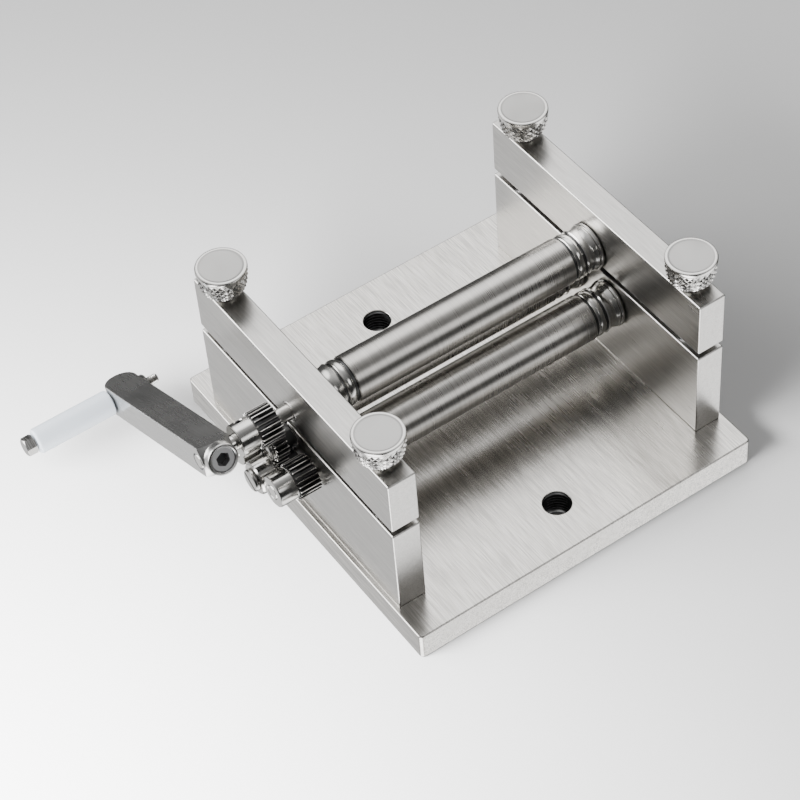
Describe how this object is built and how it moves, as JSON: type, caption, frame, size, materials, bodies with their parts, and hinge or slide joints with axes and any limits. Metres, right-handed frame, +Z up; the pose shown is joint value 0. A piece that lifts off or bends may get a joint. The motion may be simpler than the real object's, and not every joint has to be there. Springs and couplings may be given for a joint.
{
  "type": "bench plate rolling machine",
  "caption": "Small hand-cranked bench machine that bends metal sheet between a top roller and geared lower rollers, with thumb screws on sprung upper bars.",
  "frame": {"origin": "centre of the base plate's underside, where it stands on the bench", "axes": "+X along the rollers, away from the crank; +Y from the front of the machine to its rear; +Z up"},
  "size_m": [0.1875, 0.1304, 0.0762],
  "materials": {
    "base_steel": "stainless plate, brushed from front to rear, with bright broken edges",
    "stand_steel": "stainless bar, brushed along its length, with bright broken edges",
    "roller_steel": "turned and ground, satin, with polished end rings and necks",
    "gear_steel": "cut teeth and turned hubs, bright",
    "crank_steel": "ground square bar, satin",
    "knurl_steel": "turned and knurled, smooth dished top",
    "bright_fastener": "plain steel, satin",
    "dark_screw": "dark oxide, satin",
    "spring_wire": "drawn wire, bright",
    "bush_steel": "sintered bearing iron, turned, dull grey",
    "grip_plastic": "pale moulded plastic, soft gloss"
  },
  "bodies": {
    "base": {"base_plate": "base_steel", "left_block": "stand_steel", "right_block": "stand_steel", "block_screws": "dark_screw", "block_dowels": "bright_fastener", "block_bushes": "bush_steel", "low_idler_stud": "bright_fastener", "high_idler_stud": "bright_fastener", "idler_washers": "bright_fastener", "lift_springs": "spring_wire"},
    "bars": {"left_bar": "stand_steel", "right_bar": "stand_steel", "bar_bushes": "bush_steel"},
    "top_roller": {"top_roller": "roller_steel", "drive_gear": "gear_steel", "drive_gear_screw": "dark_screw", "crank_arm": "crank_steel", "crank_screw": "dark_screw", "handle_bolt": "bright_fastener", "handle_nut": "bright_fastener"},
    "grip": {"handle_grip": "grip_plastic"},
    "front_roller": {"front_roller": "roller_steel", "front_gear": "gear_steel", "front_gear_screw": "dark_screw"},
    "rear_roller": {"rear_roller": "roller_steel", "rear_gear": "gear_steel", "rear_gear_screw": "dark_screw"},
    "low_idler": {"low_idler": "gear_steel"},
    "high_idler": {"high_idler": "gear_steel"},
    "thumb_screw_left_front": {"thumb_screw_left_front": "knurl_steel"},
    "thumb_screw_left_rear": {"thumb_screw_left_rear": "knurl_steel"},
    "thumb_screw_right_front": {"thumb_screw_right_front": "knurl_steel"},
    "thumb_screw_right_rear": {"thumb_screw_right_rear": "knurl_steel"}
  },
  "joints": [
    {"name": "bar_height", "type": "slide", "parent": "base", "child": "bars", "axis": [0, 0, 1], "range_m": [-0.0005, 0.0005], "deforming": ["lift_springs"]},
    {"name": "thumb_screw_left_front_turn", "type": "hinge", "parent": "bars", "child": "thumb_screw_left_front", "pos_m": [-0.056, -0.0415, 0.071], "axis": [0, 0, 1], "range_deg": [-226, 226]},
    {"name": "thumb_screw_left_rear_turn", "type": "hinge", "parent": "bars", "child": "thumb_screw_left_rear", "pos_m": [-0.056, 0.0415, 0.071], "axis": [0, 0, 1], "range_deg": [-226, 226]},
    {"name": "thumb_screw_right_front_turn", "type": "hinge", "parent": "bars", "child": "thumb_screw_right_front", "pos_m": [0.056, -0.0415, 0.071], "axis": [0, 0, 1], "range_deg": [-226, 226]},
    {"name": "thumb_screw_right_rear_turn", "type": "hinge", "parent": "bars", "child": "thumb_screw_right_rear", "pos_m": [0.056, 0.0415, 0.071], "axis": [0, 0, 1], "range_deg": [-226, 226]},
    {"name": "top_roller_spin", "type": "hinge", "parent": "bars", "child": "top_roller", "pos_m": [0, 0.001, 0.05021], "axis": [1, 0, 0], "continuous": true},
    {"name": "grip_spin", "type": "hinge", "parent": "top_roller", "child": "grip", "pos_m": [-0.106, 0.05877, 0.02509], "axis": [1, 0, 0], "continuous": true},
    {"name": "front_roller_spin", "type": "hinge", "parent": "base", "child": "front_roller", "pos_m": [0, -0.0094, 0.0335], "axis": [1, 0, 0], "continuous": true},
    {"name": "rear_roller_spin", "type": "hinge", "parent": "base", "child": "rear_roller", "pos_m": [0, 0.0114, 0.0335], "axis": [1, 0, 0], "continuous": true},
    {"name": "low_idler_spin", "type": "hinge", "parent": "base", "child": "low_idler", "pos_m": [-0.067, 0.001, 0.0299], "axis": [1, 0, 0], "continuous": true},
    {"name": "high_idler_spin", "type": "hinge", "parent": "base", "child": "high_idler", "pos_m": [-0.067, 0.001, 0.03991], "axis": [1, 0, 0], "continuous": true}
  ],
  "couplings": [
    {"joint": "thumb_screw_left_front_turn", "follows": "bar_height", "rad_per_m": 7854},
    {"joint": "thumb_screw_left_rear_turn", "follows": "bar_height", "rad_per_m": 7854},
    {"joint": "thumb_screw_right_front_turn", "follows": "bar_height", "rad_per_m": 7854},
    {"joint": "thumb_screw_right_rear_turn", "follows": "bar_height", "rad_per_m": 7854},
    {"joint": "front_roller_spin", "follows": "top_roller_spin", "ratio": -1},
    {"joint": "rear_roller_spin", "follows": "top_roller_spin", "ratio": -1},
    {"joint": "low_idler_spin", "follows": "top_roller_spin", "ratio": 1},
    {"joint": "high_idler_spin", "follows": "top_roller_spin", "ratio": -1.2222}
  ]
}
